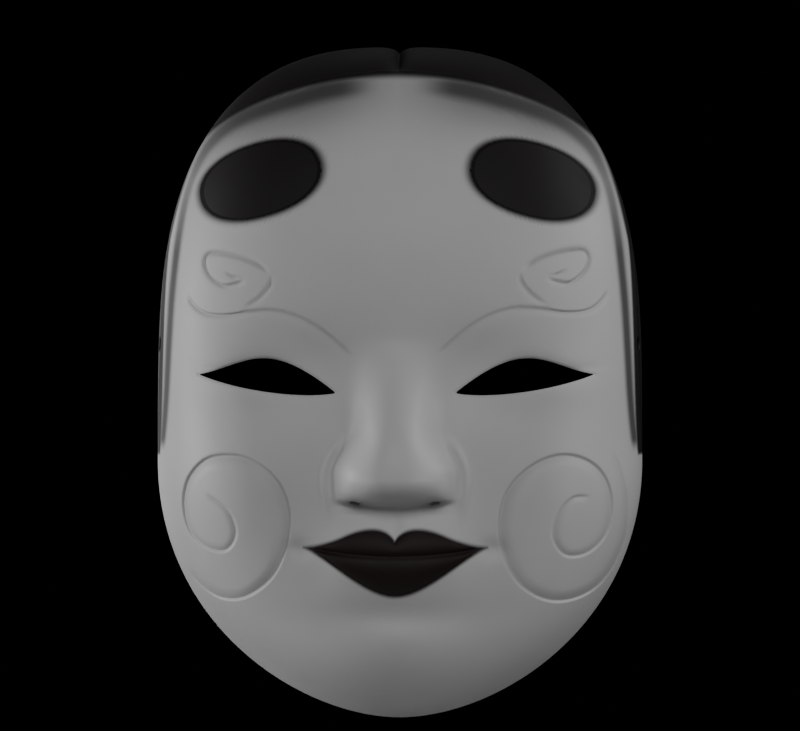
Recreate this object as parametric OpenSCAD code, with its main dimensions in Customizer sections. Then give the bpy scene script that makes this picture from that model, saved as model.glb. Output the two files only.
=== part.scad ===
// Noh mask of the young-woman type, hung or worn upright.
// A carved wooden shell carries a white ground coat, ink and lip colour on its face, lacquer on its back,
// and four glued pads that hold it off the wearer's face.
// X runs across the face, -Y out of the face and +Z to the crown. Y = 0 is the flat back rim.

/* [Face outline] */
// Height from chin to crown
face_h = 212; // [190:1:225]
// Greatest width, across the cheeks
face_w = 153.2; // [135:1:165]
// Height of the widest level above the chin
widest_h = 81.3; // [70:1:95]
// Squareness of the outline beside the temples
temple_square = 3.6; // [3:0.1:4]
// Squareness of the outline at the crown
crown_square = 2.76; // [2.4:0.02:3.2]
// Squareness of the outline along the jaw
jaw_square = 2.0; // [1.9:0.1:2.4]
// Squareness of the outline at the chin
chin_square = 1.88; // [1.8:0.02:2.2]

/* [Relief] */
// Depth of the face from the back rim, without its features
face_d = 52; // [44:1:56]
// How far the nose stands out of the face
nose_rise = 18; // [14:1:22]
// How far the eye hollows sink
eye_sink = 4.5; // [2:0.5:6]
// How far the chin stands out
chin_rise = 6; // [3:0.5:8]

/* [Layers] */
// Thickness of the white ground coat
coat_t = 1; // [0.8:0.1:1.4]
// Thickness of the wood at the rim
wood_t = 7; // [6:0.5:8]
// Thickness of the lacquer on the back
lacquer_t = 0.5; // [0.4:0.1:0.8]
// Thickness of the ink and lip colour
ink_t = 0.3; // [0.25:0.05:0.4]

/* [Openings] */
// Radius of each cord hole
cord_hole_r = 2.5; // [2:0.1:3]
// Distance of the cord holes in front of the back rim
cord_hole_y = 13; // [10:1:16]
// Height of the cord holes above the middle of the face
cord_hole_z = 12; // [5:1:20]
// Radius of each nostril
nostril_r = 1.7; // [1.5:0.1:2.4]
// Distance of each nostril from the middle of the nose
nostril_x = 12; // [9:0.5:12.5]

/* [Pads] */
// How far the forehead pad stands off the lacquer
forehead_pad_h = 10; // [6:1:12]
// How far the cheek and chin pads stand off the lacquer
cheek_pad_h = 9; // [6:1:10]

/* [Hidden] */

spokes = 72;
rings = 18;
behind = 3;                       // how far each layer starts behind the rim, before the rim is planed flat
crown_h = face_h - widest_h;
centre_z = widest_h - face_h / 2; // height of the widest level, about which the layers are laid out
wood_out = coat_t;
wood_in = coat_t + wood_t;
lacquer_in = wood_in + lacquer_t;
inner_d = face_d - 9;             // depth of the hollow, without its features

// Shape of the face

function bell(u) = exp(-u * u);
function mound(x, z, cx, cz, rx, rz) = bell((x - cx) / rx) * bell((z - cz) / rz);
function ease(u) = let (t = min(1, max(0, u))) t * t * (3 - 2 * t);

// Radius of the outline at angle a about the centre
function outline(a) =
    let (c = abs(cos(a)), s = abs(sin(a)), up = sin(a) >= 0,
        n = up ? temple_square * c * c + crown_square * s * s : jaw_square * c * c + chin_square * s * s)
    pow(pow(2 * c / face_w, n) + pow(s / (up ? crown_h : widest_h), n), -1 / n);

// Rise of the nose: a ridge between two wings, all cut off below by the underside
function nose(x, z) =
    let (climb = pow(ease((13 - z) / 43), 0.7),
        up = min(1, max(0, (z + 38.8 - x * x / 300) / 9.5)),
        underside = ease(up / 0.3) * (1 - (1 - up) * (1 - up)),
        wings = 11.5 * ease((-11 - z) / 17),
        wings_w = 12 + 5 * ease((-13 - z) / 15),
        ridge_w = 10.6 + ease((-16 - z) / 12))
    underside * (wings * exp(-pow(abs(x) / wings_w, 9))
        + (nose_rise * climb - wings) * exp(-pow(abs(x) / ridge_w, 3.2)));

// Everything that stands out of, or sinks into, the plain dome of the face
function relief(x, z) =
    nose(x, z)
    + 3 * mound(x, z, 0, 45, 48, 30)
    - eye_sink * mound(abs(x), z, 26, 3, 18, 12)
    + 3 * mound(abs(x), z, 41, 1, 18, 8)
    + 3 * mound(abs(x), z, 48, -30, 16, 22)
    + 4 * mound(x, z, 0, -56, 24, 13)
    - 2 * mound(x, z, 0, -71, 22, 5)
    + chin_rise * mound(x, z, 0, -84, 28, 14);

// The hollow follows only the broad forms
function hollow(x, z) =
    0.5 * nose_rise * mound(x, z, 0, -22, 14, 22) + 2 * mound(x, z, 0, 45, 48, 30)
    + 2 * mound(x, z, 0, -75, 32, 20);

// Share of the way from centre to outline for a step s from 0 to 1, close together towards the rim
function reach(s) = sqrt(sin(90 * s * s));
function dome(s) = cos(90 * s * s);
function fade(s) = 1 - pow(reach(s), 6);

// A point on the face, inset below its surface; the hollow's surfaces are inset past wood_in
function point(a, s, inset) =
    let (r = reach(s) * (outline(a) - inset), x = r * cos(a), z = centre_z + r * sin(a),
        inner = inset >= wood_in,
        d = inner ? (inner_d - inset + wood_in) * dome(s) + fade(s) * hollow(x, z)
                  : (face_d - inset) * dome(s) + fade(s) * relief(x, z))
    [x, -d, z];

function back_point(a, inset) = let (r = outline(a) - inset) [r * cos(a), behind, centre_z + r * sin(a)];

// All points of one surface: the centre, the rings outwards, and a ring behind the rim
function surface_points(inset) = concat(
    [point(0, 0, inset)],
    [for (k = [1:rings], i = [0:spokes - 1]) point(360 * i / spokes, k / rings, inset)],
    [for (i = [0:spokes - 1]) back_point(360 * i / spokes, inset)]);

function surface_size() = 1 + spokes * (rings + 1);
function at(k, i, first) = first + 1 + (k - 1) * spokes + (i % spokes);

// Triangles of one surface, facing out of the face, or into it when flip is true
function surface_faces(first, flip) =
    let (faces = concat(
        [for (i = [0:spokes - 1]) [first, at(1, i, first), at(1, i + 1, first)]],
        [for (k = [1:rings], i = [0:spokes - 1]) each [
            [at(k, i, first), at(k + 1, i, first), at(k + 1, i + 1, first)],
            [at(k, i, first), at(k + 1, i + 1, first), at(k, i + 1, first)]]]))
    [for (f = faces) flip ? f : [f[2], f[1], f[0]]];

// A layer of the mask between two insets, open at the back
module layer(outer, inner) {
    n = surface_size();
    polyhedron(
        points = concat(surface_points(outer), surface_points(inner)),
        faces = concat(
            surface_faces(0, false),
            surface_faces(n, true),
            [for (i = [0:spokes - 1]) each [
                [at(rings + 1, i + 1, n), at(rings + 1, i, n), at(rings + 1, i, 0)],
                [at(rings + 1, i + 1, 0), at(rings + 1, i + 1, n), at(rings + 1, i, 0)]]]),
        convexity = 6);
}

// The space inside the mask
module hollow_plug() {
    polyhedron(
        points = surface_points(lacquer_in),
        faces = concat(surface_faces(0, false), [[for (i = [0:spokes - 1]) at(rings + 1, i, 0)]]),
        convexity = 4);
}

// Outlines drawn on the face, in X and Z

function curve(p, steps = 12) = [for (i = [0:steps - 1]) let (t = i / steps, u = 1 - t)
    u * u * u * p[0] + 3 * u * u * t * p[1] + 3 * u * t * t * p[2] + t * t * t * p[3]];

eye_inner = [18.1, -3.2];
eye_outer = [60.6, 2.5];
module eye_outline() {
    polygon(concat(
        curve([eye_inner, [30, 7.6], [41, 10.4], eye_outer]),
        curve([eye_outer, [46, -3.1], [27, -5], eye_inner])));
}

lip_corner = [28, -51];
module upper_lip_outline() {
    polygon(concat(
        curve([[0, -48.4], [-3, -44.6], [-9, -43.6], [-15, -48]], 8),
        curve([[-15, -48], [-19, -50.4], [-24, -50.6], [-lip_corner[0], lip_corner[1]]], 4),
        curve([[-lip_corner[0], lip_corner[1]], [-12, -53.6], [12, -53.6], lip_corner]),
        curve([lip_corner, [24, -50.6], [19, -50.4], [15, -48]], 4),
        curve([[15, -48], [9, -43.6], [3, -44.6], [0, -48.4]], 8)));
}

module lower_lip_outline() {
    polygon(concat(
        curve([[-lip_corner[0], lip_corner[1]], [-12, -53.6], [12, -53.6], lip_corner]),
        curve([lip_corner, [18, -55], [8, -66], [0, -66]]),
        curve([[0, -66], [-8, -66], [-18, -55], [-lip_corner[0], lip_corner[1]]])));
}

// Half of the bare face below the hair: the hair line, then down inside the side wall
module face_window() {
    polygon(concat(
        curve([[0, 94.6], [24, 94], [46, 86.6], [60.5, 77]]),
        curve([[60.5, 77], [65, 73], [69, 58], [71.6, 45]]),
        curve([[71.6, 45], [73.6, 33], [73.2, -18], [75, -23]]),
        [[90, -23], [90, -130], [0, -130]]));
}

// A prism through the whole mask, along Y
module through(from = -120, to = 20) {
    translate([0, to, 0]) rotate([90, 0, 0]) linear_extrude(to - from) children();
}

// Cutters

module eye_cutters() {
    for (side = [0, 1]) mirror([side, 0, 0]) through() eye_outline();
}

module nostril_cutters() {
    for (side = [-1, 1])
        translate([side * nostril_x, -65.4, -44.1]) rotate([-50, 0, 0]) cylinder(r = nostril_r, h = 44, $fn = 48);
}

module cord_hole_cutters() {
    for (side = [-1, 1])
        translate([side * face_w / 2, -cord_hole_y, cord_hole_z])
            rotate([0, 90, 0]) cylinder(r = cord_hole_r, h = 40, center = true, $fn = 48);
}

// The block behind the mask, which leaves the back rim flat
module bench() {
    translate([-150, 0, -150]) cube([300, 40, 300]);
}

module cut_layer(outer, inner) {
    difference() {
        layer(outer, inner);
        bench();
        eye_cutters();
        nostril_cutters();
        cord_hole_cutters();
    }
}

// Layers

module wooden_shell() {
    color("burlywood") cut_layer(wood_out, wood_in);
}

module ground_coat() {
    color("gainsboro") cut_layer(0, wood_out);
}

module back_lacquer() {
    color("saddlebrown") cut_layer(wood_in, lacquer_in);
}

module hair_ink() {
    color("black") difference() {
        layer(-ink_t, 0);
        bench();
        through() face_window();
        mirror([1, 0, 0]) through() face_window();
        cord_hole_cutters();
    }
}

// Ink or colour laid on the face inside an outline
module face_ink() {
    intersection() {
        layer(-ink_t, 0);
        through(to = -15) children();
    }
}

module brow_ink(side) {
    color("black") face_ink()
        translate([side * 41.9, 62]) rotate(-side * 15.8) resize([42.2, 24.7]) circle(r = 20, $fn = 48);
}

module upper_lip_colour() {
    color([0.12, 0.09, 0.09]) face_ink() upper_lip_outline();
}

module lower_lip_colour() {
    color([0.14, 0.1, 0.1]) face_ink() lower_lip_outline();
}

// Pads: rounded cushions that follow the hollow on one side

module cushion(size, r) {
    hull() for (x = [-1, 1], z = [-1, 1])
        translate([x * (size[0] / 2 - r), 0, z * (size[2] / 2 - r)])
            scale([r, size[1] / 2, r]) sphere(r = 1, $fn = 24);
}

module pad(place, turn, size) {
    color("ivory") intersection() {
        hollow_plug();
        translate(place) rotate(turn) cushion(size, 9);
    }
}

module forehead_pad() {
    pad([0, -42, 52], [-11, 0, 0], [62, 2 * forehead_pad_h, 24]);
}

module cheek_pad(side) {
    pad([side * 46, -37.5, -22], [0, 0, side * 27], [24, 2 * cheek_pad_h, 34]);
}

module chin_pad() {
    pad([0, -38, -76], [26, 0, 0], [36, 2 * cheek_pad_h, 22]);
}

wooden_shell();
ground_coat();
back_lacquer();
hair_ink();
brow_ink(-1);  // brow_ink_left
brow_ink(1);  // brow_ink_right
upper_lip_colour();
lower_lip_colour();
forehead_pad();
cheek_pad(-1);  // cheek_pad_left
cheek_pad(1);  // cheek_pad_right
chin_pad();
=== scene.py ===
"""A noh mask of the young-woman type: a carved shell with a burnished ground coat, ink hair and brows,
coloured lips, a lacquered hollow behind and four cotton pads. The shape functions work in millimetres."""
import math

import bmesh
import bpy
import numpy as np
from mathutils import Matrix, Vector


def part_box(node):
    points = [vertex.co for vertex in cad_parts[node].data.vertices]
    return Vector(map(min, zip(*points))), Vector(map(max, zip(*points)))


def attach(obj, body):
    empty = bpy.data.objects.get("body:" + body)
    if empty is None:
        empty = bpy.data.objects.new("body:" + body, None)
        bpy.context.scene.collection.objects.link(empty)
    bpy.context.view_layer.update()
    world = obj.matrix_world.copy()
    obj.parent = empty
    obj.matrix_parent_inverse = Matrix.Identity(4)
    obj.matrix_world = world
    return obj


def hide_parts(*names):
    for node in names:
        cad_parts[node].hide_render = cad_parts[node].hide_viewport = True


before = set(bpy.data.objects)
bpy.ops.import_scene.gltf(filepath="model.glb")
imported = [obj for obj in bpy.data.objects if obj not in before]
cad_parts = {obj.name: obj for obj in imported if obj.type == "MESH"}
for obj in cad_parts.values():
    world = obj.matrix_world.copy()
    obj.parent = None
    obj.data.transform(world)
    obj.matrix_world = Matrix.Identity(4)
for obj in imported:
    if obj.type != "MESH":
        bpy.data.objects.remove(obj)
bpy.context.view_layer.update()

MM = 0.001

# ---------------------------------------------------------------- sizes, in millimetres, as in the frame

FACE_W = 153.2
CROWN_H = 130.7        # from the widest level up to the crown
JAW_H = 81.3           # from the widest level down to the chin
CENTRE_Z = JAW_H - 106
FACE_D = 52
NOSE_RISE = 17.6
FRONT_T = 9            # coat and wood together in the middle of the face, without its features
COAT = 1
WOOD_IN = 8
LACQUER_IN = 8.5
GOUGE = 0.42           # depth of the gouge marks
FLARE_WOOD = 0.3       # how much wider the slits are at the front of the wood,
FLARE_BACK = 2.6       # at its back
FLARE_LACQUER = 2.8    # and at the lacquer
BEZIER_STEPS = 28
FAR = 99               # more than any gap or angle that matters

# Cells across each sheet before it is refined
SKIN_CELLS = 144
PLAIN_CELLS = 72
GOUGED_CELLS = 150

CORD_HOLE = {"y": -13, "z": 12, "r": 2.5}
NOSTRIL = {"x": 12, "y": -65.4, "z": -44.1, "r": 1.7, "tilt": math.radians(50)}

RIM, LEFT_EYE, RIGHT_EYE, LEFT_NOSTRIL, RIGHT_NOSTRIL, LEFT_CORD, RIGHT_CORD = range(1, 8)


# ---------------------------------------------------------------- lines drawn on the face, in X and Z

def bezier(p0, p1, p2, p3, steps=BEZIER_STEPS):
    t = np.linspace(0, 1, steps, endpoint=False)[:, None]
    p0, p1, p2, p3 = (np.array(p, float) for p in (p0, p1, p2, p3))
    return (1 - t) ** 3 * p0 + 3 * (1 - t) ** 2 * t * p1 + 3 * (1 - t) * t ** 2 * p2 + t ** 3 * p3


def through(points, step=0.5):
    """A smooth line through listed points."""
    p = np.array(points, float)
    p = np.vstack([2 * p[0] - p[1], p, 2 * p[-1] - p[-2]])
    parts = []
    for a, b, c, d in zip(p[:-3], p[1:-2], p[2:-1], p[3:]):
        t = np.linspace(0, 1, max(2, int(np.hypot(*(c - b)) / step)), endpoint=False)[:, None]
        parts.append(b + 0.5 * ((c - a) * t + (2 * a - 5 * b + 4 * c - d) * t ** 2
                                + (3 * b - 3 * c + d - a) * t ** 3))
    return np.vstack(parts + [p[-2:-1]])


def mirrored(line, lift=0.0):
    return line * [-1, 1] + [0, lift]


EYE_INNER = (18.1, -3.2)
EYE_OUTER = (60.6, 2.5)
EYE_TOP = (40, 7.4)
right_eye = np.vstack([
    bezier(EYE_INNER, (24, 1.5), (32, 7.3), EYE_TOP),
    bezier(EYE_TOP, (47, 7.5), (53, 3.6), EYE_OUTER),
    bezier(EYE_OUTER, (46, -3.1), (27, -5), EYE_INNER, 48),
    [EYE_INNER]])
left_eye = mirrored(right_eye)

LIP_CORNER = (28, -50)
LIP_DIP = (0, -47.9)
LIP_FOOT = (0, -65)
half_upper_lip = np.vstack([
    bezier(LIP_DIP, (2.5, -43.8), (8, -43.2), (15.5, -46.6)),
    bezier((15.5, -46.6), (19.5, -48.4), (24, -49.7), LIP_CORNER),
    [LIP_CORNER]])
half_seam = np.vstack([bezier((0, -52.6), (10, -52.6), (19, -51.6), LIP_CORNER), [LIP_CORNER]])
half_lower_lip = np.vstack([bezier(LIP_FOOT, (9, -65), (20, -53.5), LIP_CORNER), [LIP_CORNER]])

half_hairline = np.vstack([
    bezier((0, 94.6), (24, 94), (46, 86.6), (60.5, 77)),
    bezier((60.5, 77), (65, 73), (69, 58), (71.6, 45)),
    bezier((71.6, 45), (73.6, 33), (73.2, -18), (75, -23)),
    [(75, -23)]])
half_strand = through([(4, 91.6), (12, 91.4), (22.6, 89.8), (31.6, 87.4), (40.7, 84.8), (49.9, 81.4),
                       (56.6, 76.6), (61.5, 70.5), (65.6, 60), (68, 47), (69.4, 35), (70.4, 24),
                       (71.2, 11), (72, -3), (73, -14), (74.2, -22)])

left_swirl = through([(-58.6, -33.8), (-56, -35.6), (-51, -39.5), (-49, -46), (-52, -51), (-58, -50.5),
                      (-63.5, -46), (-65.6, -38), (-64, -30), (-58.5, -24), (-51, -22.3), (-43, -24),
                      (-36, -30), (-32.6, -39), (-33.5, -49), (-38, -59), (-46, -65.3), (-54, -66.2),
                      (-61, -62.5), (-66, -57)])
right_swirl = through([(60, -35), (54, -35.3), (49.5, -40.5), (48.3, -47), (51.5, -52.2), (57, -52.5),
                       (62, -49.3), (65, -44), (65.6, -35), (62.5, -27.5), (56.5, -23.2), (49, -22.4),
                       (41, -25.8), (34.5, -32.5), (32, -41), (32.8, -51), (37.5, -60.5), (45, -65.8),
                       (53, -66.6), (61, -63.4), (67, -56.5), (70.6, -47), (70.8, -36), (68.5, -26.5),
                       (66, -21)])
brow_hook = through([(-53, 34.2), (-49.5, 32.4), (-45.2, 31.5)])
brow_loop = through([(-45.2, 31.5), (-49, 30.1), (-53, 29.8), (-57.2, 33), (-58.7, 37), (-56.6, 39.6),
                     (-50, 38.8), (-43.5, 36.5), (-37.8, 33)])
brow_tail = through([(-37.8, 33), (-38.6, 29.5), (-42, 25.6), (-46.7, 22.6)])
brow_wave = through([(-65.2, 28), (-62.5, 24), (-58.4, 21.3), (-52, 20.6), (-44, 21.6), (-37, 21.9),
                     (-30, 20.2), (-23, 16.5), (-16, 10.8), (-11.8, 6.7)])
# The crease round the outside of each wing of the nose
half_wing_edge = through([(14.5, -15), (18.3, -19.5), (21, -25), (21.8, -30.5), (21, -37), (19.8, -44)])

# Each cut: line, which side of it is the steep wall, width of the wall, then stops along the line
# with the depth and the width of the gentle slope at each
CUTS = [(left_swirl, 1, 1.05, (0, 0.2, 0.33, 0.45, 0.6, 0.76, 0.9, 1),
         (0.6, 0.85, 1.4, 1.0, 0.8, 1.3, 0.9, 0.5), (1.8, 2, 2.4, 4, 5.5, 3.2, 3, 3)),
        (right_swirl, -1, 1.05, (0, 0.25, 0.4, 0.55, 0.75, 0.9, 1),
         (0.6, 1.0, 0.95, 0.9, 1.3, 0.8, 0.45), (1.8, 2.4, 3.4, 4.6, 3.0, 2.6, 2.4))]
for cut in ((brow_hook, 1, 0.6, (0, 1), (0.7, 0.8), (1.5, 1.5)),
            (brow_loop, -1, 0.65, (0, 0.5, 1), (0.9, 1.2, 1.0), (1.6, 1.6, 1.6)),
            (brow_tail, -1, 0.65, (0, 1), (0.85, 0.6), (1.7, 1.7)),
            (brow_wave, 1, 0.7, (0, 0.35, 0.6, 1), (0.85, 1.0, 0.6, 0.6), (1.7, 1.7, 3, 3.4))):
    CUTS.append(cut)
    CUTS.append((mirrored(cut[0], 0.8), -cut[1], *cut[2:]))


def nearest(line, x, z, margin=8):
    """For each point: its distance from a line, the side it lies on (1 is left of the way the line runs),
    how far along the line it is from 0 to 1, and the nearest point of the line."""
    away = np.full(len(x), float(FAR))
    side = np.ones(len(x))
    along = np.zeros(len(x))
    foot = np.column_stack([x, z])
    low = line.min(0) - margin
    high = line.max(0) + margin
    near = np.flatnonzero((x > low[0]) & (x < high[0]) & (z > low[1]) & (z < high[1]))
    start = line[:-1]
    step = np.diff(line, axis=0)
    length = np.hypot(step[:, 0], step[:, 1])
    run = np.concatenate([[0], np.cumsum(length)])
    px = x[near, None] - start[:, 0]
    pz = z[near, None] - start[:, 1]
    t = np.clip((px * step[:, 0] + pz * step[:, 1]) / length ** 2, 0, 1)
    gap = np.hypot(px - t * step[:, 0], pz - t * step[:, 1])
    best = gap.argmin(1)
    row = np.arange(len(near))
    t = t[row, best]
    away[near] = gap[row, best]
    side[near] = np.sign(step[best, 0] * pz[row, best] - step[best, 1] * px[row, best])
    along[near] = (run[best] + t * length[best]) / run[-1]
    foot[near] = start[best] + t[:, None] * step[best]
    return away, side, along, foot


def inside(line, x, z):
    """Whether each point is inside a closed line."""
    crossings = np.zeros(len(x), int)
    for (ax, az), (bx, bz) in zip(line[:-1], line[1:]):
        if az != bz:
            crossings += ((az > z) != (bz > z)) & (x < ax + (z - az) * (bx - ax) / (bz - az))
    return crossings % 2 == 1


def gap_to(line, x, z, margin=8):
    """Distance from a closed line, below zero inside it."""
    away, _, _, foot = nearest(line, x, z, margin)
    return np.where(inside(line, x, z), -away, away), foot


# ---------------------------------------------------------------- shape of the face

def bell(u):
    return np.exp(-u * u)


def mound(x, z, cx, cz, rx, rz):
    return bell((x - cx) / rx) * bell((z - cz) / rz)


def ease(u):
    t = np.clip(u, 0, 1)
    return t * t * (3 - 2 * t)


def outline(angle):
    c = np.abs(np.cos(angle))
    s = np.abs(np.sin(angle))
    up = np.sin(angle) >= 0
    power = np.where(up, 3.6 * c * c + 2.76 * s * s, 2.0 * c * c + 1.88 * s * s)
    return ((2 * c / FACE_W) ** power + (s / np.where(up, CROWN_H, JAW_H)) ** power) ** (-1 / power)


def share(x, z, inset=0.0):
    """How far a point is on the way from the centre, 0, to the outline, 1."""
    rise = z - CENTRE_Z
    return np.clip(np.hypot(x, rise) / (outline(np.arctan2(rise, x)) - inset), 0, 1)


def nose(x, z):
    climb = ease((13 - z) / 43) ** 0.7
    u = np.clip((z + 38.8 - x * x / 300) / 9.5, 0, 1)
    underside = ease(u / 0.3) * (1 - (1 - u) ** 2)
    wings = 11.5 * ease((-11 - z) / 17)
    wings_w = 12 + 5 * ease((-13 - z) / 15)
    ridge_w = 10.6 + ease((-16 - z) / 12)
    ridge = (NOSE_RISE * climb - wings) * np.exp(-(np.abs(x) / ridge_w) ** 3.2)
    return underside * (ridge + wings * np.exp(-(np.abs(x) / wings_w) ** 9))


def relief(x, z):
    """What stands out of, or sinks into, the plain dome of the face, without the nose."""
    ax = np.abs(x)
    return (3 * mound(x, z, 0, 45, 48, 30)
            - 4.5 * mound(ax, z, 26, 3, 18, 12)
            + 3 * mound(ax, z, 41, 1, 18, 8)
            + 3 * mound(ax, z, 48, -30, 16, 22)
            + 4 * mound(x, z, 0, -56, 24, 13)
            - 2 * mound(x, z, 0, -71, 22, 5)
            + 6 * mound(x, z, 0, -84, 28, 14))


def hollow_relief(x, z):
    return (0.5 * NOSE_RISE * mound(x, z, 0, -22, 14, 22) + 2 * mound(x, z, 0, 45, 48, 30)
            + 2 * mound(x, z, 0, -75, 32, 20))


def lip_levels(x):
    """Heights of the top of the upper lip, the seam and the foot of the lower lip at each x."""
    ax = np.abs(x)
    return (np.interp(ax, half_upper_lip[:, 0], half_upper_lip[:, 1]),
            np.interp(ax, half_seam[:, 0], half_seam[:, 1]),
            np.interp(ax, half_lower_lip[:, 0], half_lower_lip[:, 1]))


def swell(z, low, high):
    """A rounded swelling between two heights: 0 at both and 1 halfway."""
    half = np.maximum((high - low) / 2, 0.3)
    return np.clip(1 - ((z - (low + high) / 2) / half) ** 2, 0, 1)


def lip_detail(x, z):
    top, seam, foot = lip_levels(x)
    within = ease((29 - np.abs(x)) / 8)
    upper = 0.9 * swell(z, seam, top) ** 0.75
    lower = 1.4 * swell(z, foot, seam) ** 0.75
    parting = -0.3 * bell((z - seam) / 0.9)
    corner = -1.6 * mound(np.abs(x), z, 29.5, -50.5, 4, 3)
    philtrum = -0.8 * mound(x, z, 0, -43.5, 2.6, 4)
    muzzle = 2.4 * np.exp(-(np.abs(x) / 20) ** 6) * bell((z + 49) / 11)
    return within * (upper + lower + parting) + corner + philtrum + muzzle


def wing_crease(x, z):
    """A low fold beside each wing of the nose, steep outwards and gentle inwards."""
    away, side, along, _ = nearest(half_wing_edge, np.abs(x), z)
    profile = np.where(side > 0, 1 - ease(away / 1.7), np.clip(1 - away / 5, 0, 1) ** 1.5)
    return 1.8 * profile * ease(along / 0.25) * ease((1 - along) / 0.4)


def lid_detail(x, z):
    """The lids turn in at the slit, most of all over its outer half."""
    ax = np.abs(x)
    away, _, _, _ = nearest(right_eye, ax, z)
    above = ease((z + 3 - 0.13 * (ax - 18)) / 3)
    outer = ease((ax - 24) / 16)
    turn_in = (0.3 + 1.9 * outer * (0.25 + 0.75 * above)) * np.exp(-away / 2.4)
    return -turn_in - 0.3 * bell(away / 0.4)


def cuts(x, z):
    """Depth of the incised lines."""
    deepest = np.zeros(len(x))
    for line, wall_side, wall, stops, depths, slopes in CUTS:
        away, side, along, _ = nearest(line, x, z, 8)
        length = np.hypot(*np.diff(line, axis=0).T).sum()
        taper = ease(along * length / 4) * ease((1 - along) * length / 5)
        width = np.interp(along, stops, slopes)
        outside = side * wall_side > 0
        profile = np.where(outside, 1 - ease(away / wall), np.clip(1 - away / width, 0, 1) ** 1.7)
        deepest = np.maximum(deepest, np.interp(along, stops, depths) * taper * profile)
    return deepest


def skin(x, z):
    q = share(x, z)
    features = relief(x, z) + nose(x, z) + wing_crease(x, z) + lip_detail(x, z) + lid_detail(x, z)
    return FACE_D * np.sqrt(1 - q ** 4) + (1 - q ** 6) * features - cuts(x, z)


def under_coat(x, z):
    """The wood under the ground coat, where the features are a little blunter."""
    q = share(x, z, COAT)
    features = relief(x, z) + 0.9 * nose(x * 1.06, z - 0.8) + lid_detail(x, z) - 2
    return (FACE_D - COAT) * np.sqrt(1 - q ** 4) + (1 - q ** 6) * features


def hollow(x, z, inset):
    q = share(x, z, inset)
    return (FACE_D - FRONT_T - inset + WOOD_IN) * np.sqrt(1 - q ** 4) + (1 - q ** 6) * hollow_relief(x, z)


def wood_back(x, z):
    return hollow(x, z, WOOD_IN)


def chiselled(x, z):
    """The hollow's surface, with overlapping rows of shallow gouge marks."""
    column = (x + 2.5 * np.sin(z / 31)) / 8.5
    row = z / 17 + 0.5 * (np.floor(column) % 2) + 0.21 * np.sin(np.floor(column) * 12.9)
    across = 2 * (column - np.floor(column)) - 1
    along = 2 * (row - np.floor(row)) - 1
    reach_in = 0.75 + 0.25 * np.sin(np.floor(column) * 7.3 + np.floor(row) * 4.1)
    scoop = np.clip(1 - 0.75 * across ** 2 - 0.35 * (along + 0.3) ** 2, 0, 1)
    q = share(x, z, LACQUER_IN)
    return hollow(x, z, LACQUER_IN) + GOUGE * scoop * reach_in * (1 - q ** 12)


# ---------------------------------------------------------------- sheets: flat blanks, holes and lifting

def reach(s):
    """Cells crowd towards the rim, where the side wall is steep."""
    return math.sqrt(math.sin(math.pi / 2 * s * s))


def flat_blank(cells, inset):
    """A square grid pressed into the outline, still flat. It faces out of the face."""
    bm = bmesh.new()
    bmesh.ops.create_grid(bm, x_segments=cells, y_segments=cells, size=1)
    for v in bm.verts:
        angle = math.atan2(v.co.y, v.co.x)
        r = reach(min(1, max(abs(v.co.x), abs(v.co.y)))) * (float(outline(angle)) - inset)
        v.co = (r * math.cos(angle), 0, CENTRE_Z + r * math.sin(angle))
    bm.verts.layers.int.new("edge_of")
    return bm


def places(bm):
    bm.verts.index_update()
    return np.array([v.co for v in bm.verts]).reshape(-1, 3)


def refine(bm, wanted):
    """Halves the cells whose middles are wanted."""
    faces = list(bm.faces)
    middles = np.array([f.calc_center_median() for f in faces])
    chosen = wanted(middles[:, 0], middles[:, 2])
    edges = {e for f, c in zip(faces, chosen) if c for e in f.edges}
    bmesh.ops.subdivide_edges(bm, edges=list(edges), cuts=1, use_grid_fill=True)


def cut_hole(bm, gap, foot, name):
    """Opens a hole where gap is below zero. Where an edge of a cell crosses the hole's, its nearer end
    moves onto it."""
    tag = bm.verts.layers.int["edge_of"]
    on_edge = set()
    for e in bm.edges:
        a, b = e.verts
        if gap[a.index] * gap[b.index] < 0:
            on_edge.add(a if abs(gap[a.index]) < abs(gap[b.index]) else b)
    for v in on_edge:
        v.co = foot[v.index]
        gap[v.index] = 0
        v[tag] = name
    for f in list(bm.faces):
        gaps = [gap[v.index] for v in f.verts]
        if min(gaps) < 0 < max(gaps):
            ends = [v for v in f.verts if gap[v.index] == 0]
            if len(ends) == 2:
                bmesh.utils.face_split(f, ends[0], ends[1])
    gone = [f for f in bm.faces if min(gap[v.index] for v in f.verts) < 0]
    bmesh.ops.delete(bm, geom=gone, context="FACES")


def cut_eyes(bm, flare):
    """Opens the slits, wider by flare all round. Without flare they end in sharp corners."""
    for line, name in ((left_eye, LEFT_EYE), (right_eye, RIGHT_EYE)):
        at = places(bm)
        gap, foot = gap_to(line, at[:, 0], at[:, 2], 10)
        away = np.maximum(np.abs(gap), 1e-6)[:, None]
        outwards = (at[:, [0, 2]] - foot) / away * np.where(gap < 0, -1, 1)[:, None]
        foot = foot + flare * outwards
        gap = gap - flare
        if flare == 0:
            for tip in (line[0], line[2 * BEZIER_STEPS]):
                nearest_one = int(np.hypot(at[:, 0] - tip[0], at[:, 2] - tip[1]).argmin())
                bm.verts.ensure_lookup_table()
                bm.verts[nearest_one].co = (tip[0], 0, tip[1])
                bm.verts[nearest_one][bm.verts.layers.int["edge_of"]] = name
                gap[nearest_one] = 0
        cut_hole(bm, gap, [(x, 0, z) for x, z in foot], name)


def lift(bm, depth):
    """Raises a flat sheet to its depth in front of the rim, still in millimetres."""
    at = places(bm)
    deep = depth(at[:, 0], at[:, 2])
    for v, d in zip(bm.verts, deep):
        v.co.y = -d


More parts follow.
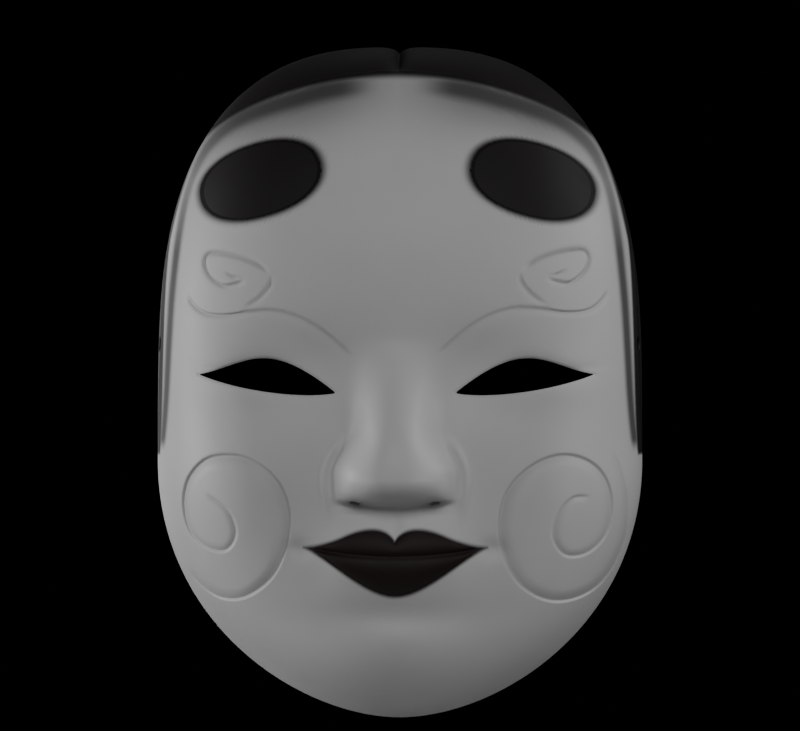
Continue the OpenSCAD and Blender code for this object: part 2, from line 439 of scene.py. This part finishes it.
def drill(bm, point, direction, radius, reach_of_drill, name):
    """Opens a round hole along an axis, over a stated stretch of it."""
    at = places(bm) - np.array(point)
    axis = np.array(direction)
    t = at @ axis
    off = at - t[:, None] * axis
    r = np.linalg.norm(off, axis=1)
    gap = np.where((t > reach_of_drill[0]) & (t < reach_of_drill[1]), r - radius, FAR)
    foot = np.array(point) + t[:, None] * axis + off / np.maximum(r, 1e-6)[:, None] * radius
    cut_hole(bm, gap, foot, name)


def drill_all(bm):
    for side, name in ((-1, LEFT_NOSTRIL), (1, RIGHT_NOSTRIL)):
        direction = (0, math.sin(NOSTRIL["tilt"]), math.cos(NOSTRIL["tilt"]))
        start = (side * NOSTRIL["x"], NOSTRIL["y"], NOSTRIL["z"])
        drill(bm, start, direction, NOSTRIL["r"], (4, 44), name)
    for side, name in ((-1, LEFT_CORD), (1, RIGHT_CORD)):
        drill(bm, (0, CORD_HOLE["y"], CORD_HOLE["z"]), (side, 0, 0), CORD_HOLE["r"], (55, 90), name)


def mark_rim(bm, inset):
    tag = bm.verts.layers.int["edge_of"]
    at = places(bm)
    at_rim = share(at[:, 0], at[:, 2], inset) > 0.995
    for v in bm.verts:
        if v.is_boundary and v[tag] == 0 and at_rim[v.index]:
            v[tag] = RIM
            v.co.y = 0
    for v in bm.verts:
        if v.is_boundary and v[tag] == 0:
            v[tag] = max(e.other_vert(v)[tag] for e in v.link_edges if e.is_boundary)


def notch(bm):
    """The parting of the hair, a soft groove over the crown."""
    bm.normal_update()
    for v in bm.verts:
        if v.co.z > 92:
            deep = 2.1 * math.exp(-abs(v.co.x) / 1.9) * float(ease((v.co.z - 94) / 7))
            v.co -= v.normal * deep
            v.co.y = min(v.co.y, 0)


def from_the_slits(x, z):
    """Distance from the edge of a slit, inside it or out."""
    return np.abs(np.minimum(gap_to(left_eye, x, z)[0], gap_to(right_eye, x, z)[0]))


def by_the_slits(x, z):
    return from_the_slits(x, z) < 4


def close_to_the_slits(x, z):
    return from_the_slits(x, z) < 2


def by_the_corners(x, z):
    ax = np.abs(x)
    inner = np.hypot(ax - EYE_INNER[0], z - EYE_INNER[1])
    outer = np.hypot(ax - EYE_OUTER[0], z - EYE_OUTER[1])
    return np.minimum(inner, outer) < 1.8


def by_the_holes(x, z):
    """Cells that the nostrils and the cord holes open through."""
    ax = np.abs(x)
    nostrils = (np.abs(ax - NOSTRIL["x"]) < 5) & (z > -41) & (z < -23)
    cords = (ax > 62) & (np.abs(z - CORD_HOLE["z"]) < 5)
    return nostrils | cords


COARSE_PASSES = (by_the_slits, close_to_the_slits, by_the_corners, by_the_holes, by_the_holes)
FINE_PASSES = (by_the_slits, by_the_corners, by_the_holes)


def make_sheet(cells, inset, depth, flare=0.0, fine=COARSE_PASSES):
    bm = flat_blank(cells, inset)
    for wanted in fine:
        refine(bm, wanted)
    cut_eyes(bm, flare)
    lift(bm, depth)
    drill_all(bm)
    mark_rim(bm, inset)
    notch(bm)
    return bm


# For each edge: its centre, and the directions of angle zero and of a quarter turn
ACROSS = Vector((1, 0, 0))
UP = Vector((0, 0, 1))
DRILL_UP = Vector((0, -math.cos(NOSTRIL["tilt"]), math.sin(NOSTRIL["tilt"])))
LOOPS = {
    RIM: (Vector((0, 0, CENTRE_Z)), ACROSS, UP),
    LEFT_EYE: (Vector((-40, 0, 1)), ACROSS, UP),
    RIGHT_EYE: (Vector((40, 0, 1)), ACROSS, UP),
    LEFT_NOSTRIL: (Vector((-NOSTRIL["x"], NOSTRIL["y"], NOSTRIL["z"])), ACROSS, DRILL_UP),
    RIGHT_NOSTRIL: (Vector((NOSTRIL["x"], NOSTRIL["y"], NOSTRIL["z"])), ACROSS, DRILL_UP),
    LEFT_CORD: (Vector((0, CORD_HOLE["y"], CORD_HOLE["z"])), Vector((0, 1, 0)), UP),
    RIGHT_CORD: (Vector((0, CORD_HOLE["y"], CORD_HOLE["z"])), Vector((0, 1, 0)), UP)}


def by_angle(verts, centre, u, v):
    """The points of a loop in the order they are joined, anticlockwise, each with its angle, and the first
    one again a full turn on."""
    angle = {p: math.atan2((p.co - centre).dot(v), (p.co - centre).dot(u)) for p in verts}
    order = [min(verts, key=angle.get)]
    left = set(verts) - set(order)
    while left:
        here = order[-1]
        order.append(next(e.other_vert(here) for e in here.link_edges
                          if e.is_boundary and e.other_vert(here) in left))
        left.remove(order[-1])
    order.append(order[0])
    turns = [(angle[b] - angle[a] + math.pi) % (2 * math.pi) - math.pi for a, b in zip(order, order[1:])]
    if sum(turns) < 0:
        order.reverse()
        turns = [-t for t in reversed(turns)]
    run = angle[order[0]] + np.concatenate([[0], np.cumsum(turns)])
    return list(zip(np.maximum.accumulate(run), order))


def join_loops(bm, front_loop, back_loop):
    """A wall between two loops with different numbers of points, which a bridge would twist."""
    i = j = 0
    while i < len(front_loop) - 1 or j < len(back_loop) - 1:
        front_next = front_loop[i + 1][0] if i < len(front_loop) - 1 else FAR
        back_next = back_loop[j + 1][0] if j < len(back_loop) - 1 else FAR
        if front_next <= back_next:
            bm.faces.new((front_loop[i][1], front_loop[i + 1][1], back_loop[j][1]))
            i += 1
        else:
            bm.faces.new((front_loop[i][1], back_loop[j + 1][1], back_loop[j][1]))
            j += 1


def close_shell(front, back):
    """Joins a back sheet to a front sheet along the rim and round each hole."""
    bmesh.ops.reverse_faces(back, faces=back.faces[:])
    carrier = bpy.data.meshes.new("carrier")
    back.to_mesh(carrier)
    in_front = set(front.verts)
    front.from_mesh(carrier)
    bpy.data.meshes.remove(carrier)
    tag = front.verts.layers.int["edge_of"]
    edge_points = [v for v in front.verts if v.is_boundary]
    for name, (centre, u, v) in LOOPS.items():
        ours = [p for p in edge_points if p[tag] == name]
        halves = [[p for p in ours if (p in in_front) == ahead] for ahead in (True, False)]
        join_loops(front, by_angle(halves[0], centre, u, v), by_angle(halves[1], centre, u, v))
    bmesh.ops.recalc_face_normals(front, faces=front.faces[:])


def finish_piece(bm, name, node_names, material):
    """Turns a shape in millimetres into a finished piece in metres."""
    bmesh.ops.scale(bm, vec=(MM, MM, MM), verts=bm.verts[:])
    mesh = bpy.data.meshes.new(name)
    bm.to_mesh(mesh)
    bm.free()
    if mesh.attributes.get("edge_of"):
        mesh.attributes.remove(mesh.attributes["edge_of"])
    mesh.shade_smooth()
    mesh.materials.append(material)
    piece = bpy.data.objects.new(name, mesh)
    bpy.context.scene.collection.objects.link(piece)
    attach(piece, "root")
    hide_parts(*node_names)
    return piece


# ---------------------------------------------------------------- where ink, colour and painted shade lie

def brow_gap(x, z):
    """Rough distance from the edge of a brow, below zero inside it."""
    turn = math.radians(15.8)
    dx = np.abs(x) - 41.9
    dz = z - 62
    u = (dx * math.cos(turn) - dz * math.sin(turn)) / 21.1
    w = (dx * math.sin(turn) + dz * math.cos(turn)) / 12.4
    return ((np.abs(u) ** 2.2 + np.abs(w) ** 2.2) ** (1 / 2.2) - 1) * 15


def hair_gap(x, z):
    """Rough distance from the edge of the hair, below zero inside it."""
    rise = half_hairline[:, 1] - CENTRE_Z
    angles = np.arctan2(rise, half_hairline[:, 0])
    order = np.argsort(angles)
    radii = np.hypot(half_hairline[:, 0], rise)
    angle = np.arctan2(z - CENTRE_Z, np.abs(x))
    edge = np.interp(angle, angles[order], radii[order])
    return np.maximum(edge - np.hypot(x, z - CENTRE_Z), -22.5 - z)


def lip_gap(x, z):
    """Rough distance from the edge of the lips, below zero inside them."""
    top, _, foot = lip_levels(x)
    ax = np.abs(x)
    up = (z - top) * 0.93
    down = (foot - z) * 0.85
    return np.where(ax < 28.2, np.maximum(up, down), FAR)


def nostril_shade(x, y, z):
    """How much painted shade a point gets round a nostril, from its distance to the drill's axis."""
    rise = (y - NOSTRIL["y"]) * math.cos(NOSTRIL["tilt"]) - (z - NOSTRIL["z"]) * math.sin(NOSTRIL["tilt"])
    away = np.hypot(np.abs(x) - NOSTRIL["x"], rise)
    return 0.5 * bell(away / 3.6) * (z > -40) * (z < -28)


def under_hair_shade(x, z):
    """The soft grey below the hair line, strongest over the middle of the forehead's sides: partly a grey
    wash, partly painted shade.
    """
    away, _, along, _ = nearest(half_strand, np.abs(x), z, 26)
    return 0.6 * bell(away / 12) * (1 - ease((along - 0.25) / 0.3)) * (0.4 + 0.6 * ease(np.abs(x) / 24))


def strand_strength(x, z):
    away, _, along, _ = nearest(half_strand, np.abs(x), z)
    half_w = np.interp(along, [0, 0.12, 0.3, 0.45, 0.6, 1], [3.2, 3.8, 3.4, 1.6, 1.7, 1.4])
    ends = ease(along / 0.09) * ease((1 - along) / 0.03)
    dark = np.interp(along, [0, 0.3, 0.46, 0.6], [0.74, 0.7, 0.5, 0.85])
    return ends * dark * (1 - ease((away / half_w - 0.25) / 1.15))


# ---------------------------------------------------------------- node helpers

def socket_link(tree, value, socket):
    if hasattr(value, "is_output"):
        tree.links.new(value, socket)
    else:
        socket.default_value = value


def node(tree, kind, inputs=None, **settings):
    made = tree.nodes.new(kind)
    for key, value in settings.items():
        setattr(made, key, value)
    for key, value in (inputs or {}).items():
        socket_link(tree, value, made.inputs[key])
    return made


def maths(tree, operation, a, b=0.0):
    return node(tree, "ShaderNodeMath", {0: a, 1: b}, operation=operation).outputs[0]


def blend_colour(tree, factor, a, b):
    made = node(tree, "ShaderNodeMix", {0: factor, 6: a, 7: b}, data_type="RGBA")
    return made.outputs[2]


def span(tree, value, low, high, to_low, to_high):
    made = node(tree, "ShaderNodeMapRange", {0: value, 1: low, 2: high, 3: to_low, 4: to_high})
    return made.outputs[0]


def noise(tree, vector, scale, detail=3.0, roughness=0.5):
    made = node(tree, "ShaderNodeTexNoise",
                {"Vector": vector, "Scale": scale, "Detail": detail, "Roughness": roughness})
    return made.outputs["Fac"]


def new_group(name, inputs, outputs):
    tree = bpy.data.node_groups.new(name, "ShaderNodeTree")
    for label, kind, value in inputs:
        made = tree.interface.new_socket(name=label, in_out="INPUT", socket_type=kind)
        made.default_value = value
    for label, kind in outputs:
        tree.interface.new_socket(name=label, in_out="OUTPUT", socket_type=kind)
    return tree, tree.nodes.new("NodeGroupInput"), tree.nodes.new("NodeGroupOutput")


def use_group(tree, group, inputs):
    made = tree.nodes.new("ShaderNodeGroup")
    made.node_tree = group
    for key, value in inputs.items():
        socket_link(tree, value, made.inputs[key])
    return made.outputs


def new_material(name):
    material = bpy.data.materials.new(name)
    material.use_nodes = True
    tree = material.node_tree
    return material, tree, tree.nodes["Principled BSDF"]


def object_place(tree):
    return node(tree, "ShaderNodeTexCoord").outputs["Object"]


# ---------------------------------------------------------------- shared effects

FLOAT = "NodeSocketFloat"
COLOUR = "NodeSocketColor"
VECTOR = "NodeSocketVector"


def make_hand_finish():
    """Slow unevenness of a hand-laid coat, with a fine tooth left by burnishing."""
    tree, given, out = new_group(
        "hand_finish",
        [("Vector", VECTOR, (0, 0, 0)), ("Patch Scale", FLOAT, 25.0), ("Tooth Scale", FLOAT, 900.0)],
        [("Patches", FLOAT), ("Tooth", FLOAT), ("Height", FLOAT)])
    at = given.outputs["Vector"]
    patches = noise(tree, at, given.outputs["Patch Scale"], 4.0, 0.55)
    tooth = noise(tree, at, given.outputs["Tooth Scale"], 2.0, 0.6)
    ripple = noise(tree, at, 130.0, 2.0, 0.4)
    height = maths(tree, "ADD", maths(tree, "MULTIPLY", ripple, 0.7), maths(tree, "MULTIPLY", tooth, 0.3))
    tree.links.new(patches, out.inputs["Patches"])
    tree.links.new(tooth, out.inputs["Tooth"])
    tree.links.new(height, out.inputs["Height"])
    return tree


def make_brush_marks():
    """Fine hairs of a flat brush, drawn out along one direction."""
    tree, given, out = new_group(
        "brush_marks", [("Vector", VECTOR, (0, 0, 0)), ("Fineness", FLOAT, 1.0)],
        [("Marks", FLOAT), ("Height", FLOAT)])
    scale = node(tree, "ShaderNodeVectorMath", {0: given.outputs["Vector"], 1: (900, 900, 60)},
                 operation="MULTIPLY").outputs[0]
    marks = noise(tree, scale, given.outputs["Fineness"], 3.0, 0.6)
    tree.links.new(marks, out.inputs["Marks"])
    tree.links.new(maths(tree, "MULTIPLY", marks, 0.6), out.inputs["Height"])
    return tree


def make_wood_grain():
    """Straight cypress grain that runs up the mask."""
    tree, given, out = new_group(
        "wood_grain", [("Vector", VECTOR, (0, 0, 0)), ("Ring Gap", FLOAT, 2.2)],
        [("Rings", FLOAT), ("Fibre", FLOAT), ("Height", FLOAT)])
    at = given.outputs["Vector"]
    drawn = node(tree, "ShaderNodeVectorMath", {0: at, 1: (1000, 420, 22)}, operation="MULTIPLY").outputs[0]
    bend = noise(tree, drawn, 0.05, 2.0, 0.4)
    parts = node(tree, "ShaderNodeSeparateXYZ", {0: drawn})
    across = maths(tree, "ADD", parts.outputs[0], maths(tree, "MULTIPLY", bend, 16.0))
    turn = maths(tree, "DIVIDE", across, given.outputs["Ring Gap"])
    rings = maths(tree, "POWER", maths(tree, "FRACT", turn), 3.0)
    fibre = noise(tree, drawn, 1.6, 4.0, 0.65)
    height = maths(tree, "ADD", maths(tree, "MULTIPLY", rings, 0.5), maths(tree, "MULTIPLY", fibre, 0.5))
    tree.links.new(rings, out.inputs["Rings"])
    tree.links.new(fibre, out.inputs["Fibre"])
    tree.links.new(height, out.inputs["Height"])
    return tree


hand_finish = make_hand_finish()
brush_marks = make_brush_marks()
wood_grain = make_wood_grain()


def bump(tree, height, strength, distance=0.0002):
    made = node(tree, "ShaderNodeBump", {"Strength": strength, "Distance": distance, "Height": height})
    return made.outputs["Normal"]


INK = (0.0085, 0.0068, 0.0070, 1)
LIP = (0.0125, 0.0072, 0.0074, 1)


def coat_material():
    """Shell-white ground, burnished to a satin, with soft washes of ink and lip colour, and painted shade
    in ink colour round the nostrils and, in part, under the hair line.
    """
    material, tree, shader = new_material("burnished_ground")
    at = object_place(tree)
    finish = use_group(tree, hand_finish, {"Vector": at, "Patch Scale": 30.0, "Tooth Scale": 1100.0})
    # This attribute holds the ink washes and also painted shade round the nostrils and, in part, under the
    # hair line.
    ink = node(tree, "ShaderNodeAttribute", attribute_name="ink_and_painted_shade").outputs["Fac"]
    lip = node(tree, "ShaderNodeAttribute", attribute_name="lip_wash").outputs["Fac"]
    cut = node(tree, "ShaderNodeAttribute", attribute_name="cut_depth").outputs["Fac"]
    ground = blend_colour(tree, finish["Patches"], (0.425, 0.425, 0.422, 1), (0.50, 0.50, 0.496, 1))
    # Darker in the incised lines, in step with their depth.
    ground = blend_colour(tree, maths(tree, "MULTIPLY", cut, 0.16), ground, (0.18, 0.175, 0.17, 1))
    inked_and_shaded = blend_colour(tree, ink, ground, INK)
    coloured = blend_colour(tree, lip, inked_and_shaded, LIP)
    tree.links.new(coloured, shader.inputs["Base Color"])
    satin = span(tree, finish["Patches"], 0.3, 0.7, 0.44, 0.54)
    painted = maths(tree, "MAXIMUM", ink, lip)
    rough = maths(tree, "ADD", satin, maths(tree, "MULTIPLY", painted, 0.12))
    tree.links.new(rough, shader.inputs["Roughness"])
    shader.inputs["Specular IOR Level"].default_value = 0.2
    tree.links.new(bump(tree, finish["Height"], 0.12), shader.inputs["Normal"])
    return material


def ink_material(name, colour, roughness, shine):
    """Ink laid on with a flat brush over the ground."""
    material, tree, shader = new_material(name)
    at = object_place(tree)
    marks = use_group(tree, brush_marks, {"Vector": at, "Fineness": 1.0})
    finish = use_group(tree, hand_finish, {"Vector": at, "Patch Scale": 40.0, "Tooth Scale": 900.0})
    lighter = tuple(c * 1.7 for c in colour[:3]) + (1,)
    shade = blend_colour(tree, maths(tree, "MULTIPLY", finish["Patches"], marks["Marks"]), colour, lighter)
    tree.links.new(shade, shader.inputs["Base Color"])
    rough = span(tree, marks["Marks"], 0.2, 0.8, roughness - 0.05, roughness + 0.07)
    tree.links.new(rough, shader.inputs["Roughness"])
    shader.inputs["Specular IOR Level"].default_value = shine
    tree.links.new(bump(tree, marks["Height"], 0.1), shader.inputs["Normal"])
    return material


def wood_material():
    """Bare carved cypress, as the rim and the walls of the slits show it."""
    material, tree, shader = new_material("carved_cypress")
    grain = use_group(tree, wood_grain, {"Vector": object_place(tree), "Ring Gap": 2.0})
    shade = blend_colour(tree, grain["Rings"], (0.44, 0.29, 0.16, 1), (0.25, 0.14, 0.07, 1))
    shade = blend_colour(tree, maths(tree, "MULTIPLY", grain["Fibre"], 0.45), shade, (0.20, 0.12, 0.06, 1))
    tree.links.new(shade, shader.inputs["Base Color"])
    tree.links.new(span(tree, grain["Fibre"], 0.2, 0.8, 0.5, 0.68), shader.inputs["Roughness"])
    tree.links.new(bump(tree, grain["Height"], 0.25), shader.inputs["Normal"])
    return material


def lacquer_material():
    """Thin brown lacquer wiped over chiselled wood, so that the grain still shows through."""
    material, tree, shader = new_material("wiped_lacquer")
    at = object_place(tree)
    grain = use_group(tree, wood_grain, {"Vector": at, "Ring Gap": 2.6})
    finish = use_group(tree, hand_finish, {"Vector": at, "Patch Scale": 22.0, "Tooth Scale": 700.0})
    shade = blend_colour(tree, grain["Rings"], (0.120, 0.052, 0.022, 1), (0.055, 0.022, 0.010, 1))
    shade = blend_colour(tree, span(tree, finish["Patches"], 0.35, 0.75, 0.0, 0.6), shade,
                         (0.045, 0.019, 0.010, 1))
    tree.links.new(shade, shader.inputs["Base Color"])
    tree.links.new(span(tree, finish["Patches"], 0.3, 0.7, 0.28, 0.42), shader.inputs["Roughness"])
    shader.inputs["Coat Weight"].default_value = 0.4
    shader.inputs["Coat Roughness"].default_value = 0.22
    tree.links.new(bump(tree, grain["Height"], 0.18), shader.inputs["Normal"])
    return material


def cloth_material():
    """Plain woven cotton."""
    material, tree, shader = new_material("pad_cotton")
    at = object_place(tree)
    turns = node(tree, "ShaderNodeVectorMath", {0: at, 1: (9000, 9000, 9000)},
                 operation="MULTIPLY").outputs[0]
    parts = node(tree, "ShaderNodeSeparateXYZ", {0: turns})
    warp = maths(tree, "SINE", parts.outputs[0])
    weft = maths(tree, "SINE", parts.outputs[2])
    weave = maths(tree, "MULTIPLY", warp, weft)
    thread = maths(tree, "ADD", maths(tree, "MULTIPLY", weave, 0.5), 0.5)
    slub = noise(tree, at, 350.0, 3.0, 0.6)
    shade = blend_colour(tree, maths(tree, "MULTIPLY", thread, slub), (0.36, 0.32, 0.25, 1),
                         (0.62, 0.57, 0.47, 1))
    tree.links.new(shade, shader.inputs["Base Color"])
    tree.links.new(span(tree, slub, 0.2, 0.8, 0.82, 0.95), shader.inputs["Roughness"])
    shader.inputs["Sheen Weight"].default_value = 0.25
    tree.links.new(bump(tree, thread, 0.5, 0.00025), shader.inputs["Normal"])
    return material


# ---------------------------------------------------------------- the face and its paint

def near_lines(x, z, within):
    """Cells near the incised lines and the edges of the slits."""
    chosen = np.zeros(len(x), bool)
    for line, *_ in CUTS:
        chosen |= nearest(line, x, z)[0] < within
    for line in (left_eye, right_eye):
        chosen |= np.abs(gap_to(line, x, z)[0]) < within
    return chosen


def wide_pass(x, z):
    lips = (np.abs(x) < 31) & (z < -41) & (z > -68)
    nose_tip = (np.abs(x) < 25) & (z < -14) & (z > -41)
    parting = (np.abs(x) < 7) & (z > 90)
    brows = np.abs(brow_gap(x, z)) < 3
    painted = (nearest(half_strand, np.abs(x), z)[0] < 3.2) | (np.abs(hair_gap(x, z)) < 1.8)
    return near_lines(x, z, 3.2) | lips | nose_tip | parting | brows | painted


def close_pass(x, z):
    lips = (np.abs(x) < 31) & (np.abs(lip_gap(x, z)) < 1.6)
    seam = (np.abs(x) < 29) & (np.abs(z - lip_levels(x)[1]) < 1.6)
    parting = (np.abs(x) < 4) & (z > 95)
    fine_strand = (nearest(half_strand, np.abs(x), z)[0] < 0.9) & (z < 72)
    brows = (brow_gap(x, z) > -3.2) & (brow_gap(x, z) < -0.7)
    return near_lines(x, z, 1.2) | lips | seam | parting | fine_strand | brows


skin_sheet = make_sheet(SKIN_CELLS, 0, skin, 0, (wide_pass, close_pass, by_the_corners, by_the_holes))


def paint_film(name, node_name, material, gap, feather):
    """A thin film of ink or colour on the skin, feathered out to nothing at its edge."""
    film = skin_sheet.copy()
    at = places(film)
    depth_in = -gap(at[:, 0], at[:, 2])
    gone = [f for f in film.faces if min(depth_in[v.index] for v in f.verts) < feather[0]]
    bmesh.ops.delete(film, geom=gone, context="FACES")
    film.normal_update()
    at = places(film)
    depth_in = -gap(at[:, 0], at[:, 2])
    rise = -0.05 + 0.13 * ease((depth_in - feather[0]) / feather[1])
    tops = list(film.verts)
    under = bmesh.ops.extrude_face_region(film, geom=film.faces[:], use_keep_orig=True)
    normals = [v.normal.copy() for v in tops]
    bottoms = [v for v in under["geom"] if isinstance(v, bmesh.types.BMVert)]
    for v, n, r in zip(tops, normals, rise):
        v.co += n * float(r)
    for v in bottoms:
        v.co -= v.normal * 0.05
    for v in film.verts:
        v.co.y = min(v.co.y, 0)
    bmesh.ops.recalc_face_normals(film, faces=film.faces[:])
    low_ones = set(bottoms)
    for e in film.edges:
        if len(low_ones.intersection(e.verts)) != 1 and any(
                0 < len(low_ones.intersection(f.verts)) < len(f.verts) for f in e.link_faces):
            e.smooth = False
    finish_piece(film, name, [node_name], material)


hair_ink = ink_material("combed_hair_ink", INK, 0.5, 0.15)
brow_ink = ink_material("smudged_brow_ink", (0.0062, 0.0050, 0.0052, 1), 0.6, 0.1)
lip_colour = ink_material("lip_colour", LIP, 0.5, 0.12)


def one_side(gap, side):
    return lambda x, z: np.where(x * side > 0, gap(x, z), FAR)


def upper_lip_gap(x, z):
    return np.maximum(lip_gap(x, z), lip_levels(x)[1] - z)


def lower_lip_gap(x, z):
    return np.maximum(lip_gap(x, z), z - lip_levels(x)[1])


paint_film("painted_hair", "hair_ink", hair_ink, hair_gap, (1.6, 2.0))
paint_film("painted_brow_left", "brow_ink_left", brow_ink, one_side(brow_gap, -1), (1.0, 2.4))
paint_film("painted_brow_right", "brow_ink_right", brow_ink, one_side(brow_gap, 1), (1.0, 2.4))
paint_film("painted_upper_lip", "upper_lip_colour", lip_colour, upper_lip_gap, (0.3, 1.3))
paint_film("painted_lower_lip", "lower_lip_colour", lip_colour, lower_lip_gap, (0.3, 1.3))

close_shell(skin_sheet, make_sheet(PLAIN_CELLS, COAT, under_coat, FLARE_WOOD))
face_coat = finish_piece(skin_sheet, "face_coat", ["ground_coat"], coat_material())


def store(mesh, name, values):
    mesh.attributes.new(name, "FLOAT", "POINT").data.foreach_set("value", values.astype(np.float32))


coat_at = np.array([v.co for v in face_coat.data.vertices]) / MM
coat_x, coat_y, coat_z = coat_at.T
hair_feather = np.interp(coat_z, [45, 78], [0.9, 3.6])
hair_wash = 1 - ease(hair_gap(coat_x, coat_z) / hair_feather + 0.4)
# Also dark in ink colour on the cord holes' walls and round them, out to about 3.8 mm from their axis.
hair_wash = np.maximum(hair_wash, 1 - ease((np.hypot(coat_y + 13, coat_z - 12) - 3.2) / 0.6))
brow_wash = 1 - ease((brow_gap(coat_x, coat_z) + 1.5) / 2.6)
strand_wash = strand_strength(coat_x, coat_z)
# Painted shade round the nostrils and, in part, under the hair line, laid in with the ink washes.
shade = np.maximum(under_hair_shade(coat_x, coat_z), nostril_shade(coat_x, coat_y, coat_z))
washes = [hair_wash, brow_wash, strand_wash + shade * (1 - strand_wash)]
store(face_coat.data, "ink_and_painted_shade", np.clip(np.maximum.reduce(washes), 0, 1))
store(face_coat.data, "lip_wash", 1 - ease((lip_gap(coat_x, coat_z) + 0.6) / 1.5))
store(face_coat.data, "cut_depth", np.clip(cuts(coat_x, coat_z) / 0.6, 0, 1))

# ---------------------------------------------------------------- the shell and its lacquered hollow

shell = make_sheet(PLAIN_CELLS, COAT, under_coat, FLARE_WOOD)
close_shell(shell, make_sheet(PLAIN_CELLS, WOOD_IN, wood_back, FLARE_BACK))
finish_piece(shell, "carved_shell", ["wooden_shell"], wood_material())

lining = make_sheet(PLAIN_CELLS, WOOD_IN, wood_back, FLARE_BACK)
close_shell(lining, make_sheet(GOUGED_CELLS, LACQUER_IN, chiselled, FLARE_LACQUER, FINE_PASSES))
finish_piece(lining, "hollow_lacquer", ["back_lacquer"], lacquer_material())


# ---------------------------------------------------------------- pads

cotton = cloth_material()
CLOTH_FRAMES = 20


def swell_pad(piece, voxel, cap):
    """Blows a closed pad up a little as cloth, and lets no point move further than cap."""
    bpy.context.view_layer.objects.active = piece
    remesh = piece.modifiers.new("Remesh", "REMESH")
    remesh.mode = "VOXEL"
    remesh.voxel_size = voxel
    bpy.ops.object.modifier_apply(modifier=remesh.name)
    before = np.array([v.co for v in piece.data.vertices])
    cloth = piece.modifiers.new("Cloth", "CLOTH")
    cloth.settings.use_pressure = True
    cloth.settings.uniform_pressure_force = 4
    cloth.settings.effector_weights.gravity = 0
    cloth.settings.quality = 5
    scene = bpy.context.scene
    for step in range(1, CLOTH_FRAMES + 1):
        scene.frame_set(step)
    shaped = piece.evaluated_get(bpy.context.evaluated_depsgraph_get())
    after = np.array([v.co for v in shaped.data.vertices])
    piece.modifiers.remove(cloth)
    scene.frame_set(1)
    move = after - before
    length = np.linalg.norm(move, axis=1)
    length[length == 0] = 1
    move *= np.minimum(1, cap / length)[:, None]
    for v, m in zip(piece.data.vertices, move):
        v.co += Vector(m)


def make_pad(name, node_name):
    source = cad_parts[node_name].data
    bm = bmesh.new()
    bm.from_mesh(source)
    bmesh.ops.remove_doubles(bm, verts=bm.verts[:], dist=0.00002)
    low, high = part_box(node_name)
    middle = (low + high) / 2
    for v in bm.verts:
        v.co = middle + (v.co - middle) * 0.95
    bmesh.ops.recalc_face_normals(bm, faces=bm.faces[:])
    mesh = bpy.data.meshes.new(name)
    bm.to_mesh(mesh)
    bm.free()
    piece = bpy.data.objects.new(name, mesh)
    bpy.context.scene.collection.objects.link(piece)
    swell_pad(piece, voxel=0.0016, cap=0.0016)
    at = np.array([v.co for v in piece.data.vertices]) / MM
    wall = chiselled(at[:, 0], at[:, 2]) - GOUGE
    for v, w in zip(piece.data.vertices, wall):
        v.co.y = max(v.co.y, -float(w) * MM)
    smooth = bmesh.new()
    smooth.from_mesh(piece.data)
    for _ in range(3):
        bmesh.ops.smooth_vert(smooth, verts=smooth.verts[:], factor=0.5, use_axis_x=True,
                              use_axis_y=True, use_axis_z=True)
    smooth.to_mesh(piece.data)
    smooth.free()
    piece.data.shade_smooth()
    piece.data.materials.clear()
    piece.data.materials.append(cotton)
    round_off = piece.modifiers.new("Subdivision", "SUBSURF")
    round_off.levels = 1
    round_off.render_levels = 1
    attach(piece, "root")
    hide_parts(node_name)


for pad in ("forehead_pad", "cheek_pad_left", "cheek_pad_right", "chin_pad"):
    make_pad("cushion_" + pad, pad)


# ---------------------------------------------------------------- stage, light and camera

def make_stage():
    bm = bmesh.new()
    bmesh.ops.create_circle(bm, cap_ends=True, radius=0.5, segments=96)
    mesh = bpy.data.meshes.new("floor")
    bm.to_mesh(mesh)
    bm.free()
    mesh.transform(Matrix.Translation((0, 0, -0.6)))
    floor = bpy.data.objects.new("floor", mesh)
    bpy.context.scene.collection.objects.link(floor)
    material, tree, shader = new_material("pale_floor")
    shade = span(tree, noise(tree, object_place(tree), 6.0), 0.3, 0.7, 0.60, 0.64)
    tree.links.new(node(tree, "ShaderNodeCombineColor", {0: shade, 1: shade, 2: shade}).outputs[0],
                   shader.inputs["Base Color"])
    shader.inputs["Roughness"].default_value = 0.8
    mesh.materials.append(material)


def soft_light(name, place, size, power, aim=(0, -0.03, 0)):
    data = bpy.data.lights.new(name, "AREA")
    data.shape = "DISK"
    data.size = size
    data.energy = power
    light = bpy.data.objects.new(name, data)
    light.location = place
    light.rotation_euler = (Vector(aim) - Vector(place)).to_track_quat("-Z", "Y").to_euler()
    light.visible_camera = False
    bpy.context.scene.collection.objects.link(light)


def make_camera():
    distance = 1.2
    yaw = math.radians(1.6)
    data = bpy.data.cameras.new("camera")
    data.lens = 170.4
    data.sensor_width = 36
    camera = bpy.data.objects.new("camera", data)
    camera.location = (distance * math.sin(yaw), -distance * math.cos(yaw), 0.0052)
    camera.rotation_euler = (math.radians(90), 0, yaw)
    bpy.context.scene.collection.objects.link(camera)
    bpy.context.scene.camera = camera


make_stage()
soft_light("left_key", (-1.29, 0.11, 0.09), 0.6, 12.5)
soft_light("right_key", (1.16, 0.10, 0.57), 0.6, 6.4)
soft_light("right_front", (1.20, -0.44, 0.23), 0.6, 2.3)
soft_light("front_high", (0.00, -1.53, 0.71), 0.6, 9.8)
soft_light("front_low", (0.00, -1.69, 0.00), 0.6, 2.3)
soft_light("crown_light", (0, 0.75, 1.05), 0.8, 0.6)
soft_light("back_fill", (-0.7, 1.1, 0.1), 0.7, 1.5)
world = bpy.data.worlds.new("dark_studio")
world.use_nodes = True
world.node_tree.nodes["Background"].inputs[0].default_value = (0.0004, 0.0004, 0.0004, 1)
bpy.context.scene.world = world
make_camera()
